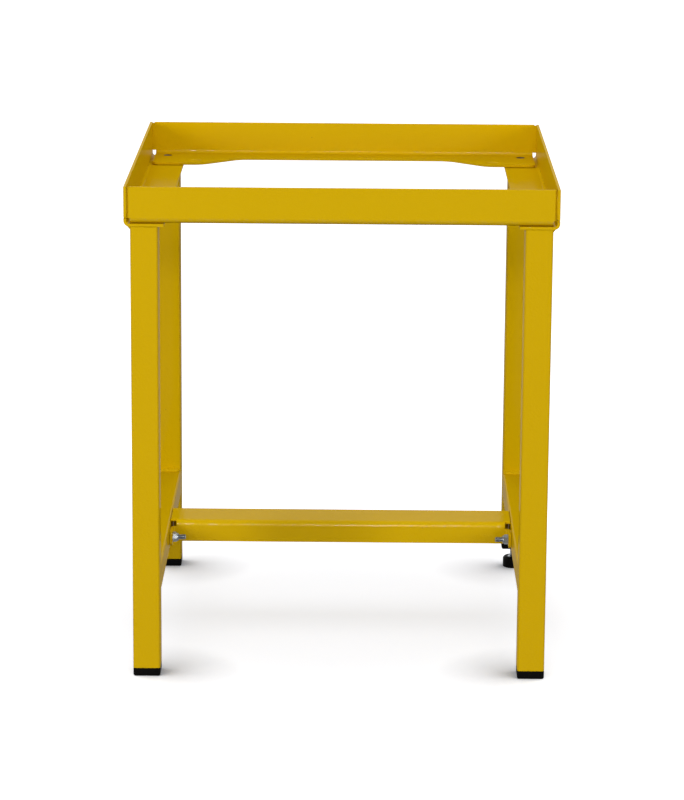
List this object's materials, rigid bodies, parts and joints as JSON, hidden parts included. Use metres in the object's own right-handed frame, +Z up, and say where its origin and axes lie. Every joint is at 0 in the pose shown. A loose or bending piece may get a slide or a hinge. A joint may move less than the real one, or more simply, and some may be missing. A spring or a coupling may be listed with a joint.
{
  "type": "tool chest stand",
  "caption": "Square steel floor stand with an upstanding tray of folded rails for a chest, tube legs, low stretchers with a bolted cross rail, and a screw-in levelling foot.",
  "frame": {"origin": "on the floor, under the middle of the stand's outline", "axes": "+Z up, +Y from the front rail to the rear rail, +X to the right seen from the front"},
  "size_m": [0.47, 0.47, 0.55],
  "materials": {
    "powder_coat": "glossy yellow powder coat with a fine orange peel",
    "black_plastic": "moulded black plastic, fine matte texture",
    "zinc_steel": "bright zinc plate"
  },
  "bodies": {
    "frame": {"left_side_rail": "powder_coat", "right_side_rail": "powder_coat", "front_rail": "powder_coat", "rear_rail": "powder_coat", "front_left_leg": "powder_coat", "front_right_leg": "powder_coat", "rear_left_leg": "powder_coat", "rear_right_leg": "powder_coat", "left_stretcher": "powder_coat", "right_stretcher": "powder_coat", "cross_rail": "powder_coat", "left_bolt": "zinc_steel", "right_bolt": "zinc_steel", "left_nut": "zinc_steel", "right_nut": "zinc_steel", "front_left_foot": "black_plastic", "front_right_foot": "black_plastic", "rear_left_foot": "black_plastic", "threaded_insert": "black_plastic", "insert_nut": "zinc_steel"},
    "pad": {"levelling_pad": "black_plastic"},
    "stud": {"levelling_stud": "zinc_steel"}
  },
  "joints": [
    {"name": "stud_turn", "type": "hinge", "parent": "pad", "child": "stud", "pos_m": [0.213, 0.22, 0.013], "axis": [0, 0, -1], "range_deg": [-3240, 3240]},
    {"name": "foot_travel", "type": "slide", "parent": "frame", "child": "pad", "axis": [0, 0, -1], "range_m": [-0.0113, 0.0113]}
  ],
  "couplings": [
    {"joint": "foot_travel", "follows": "stud_turn", "m_per_rad": 0.00019894}
  ]
}
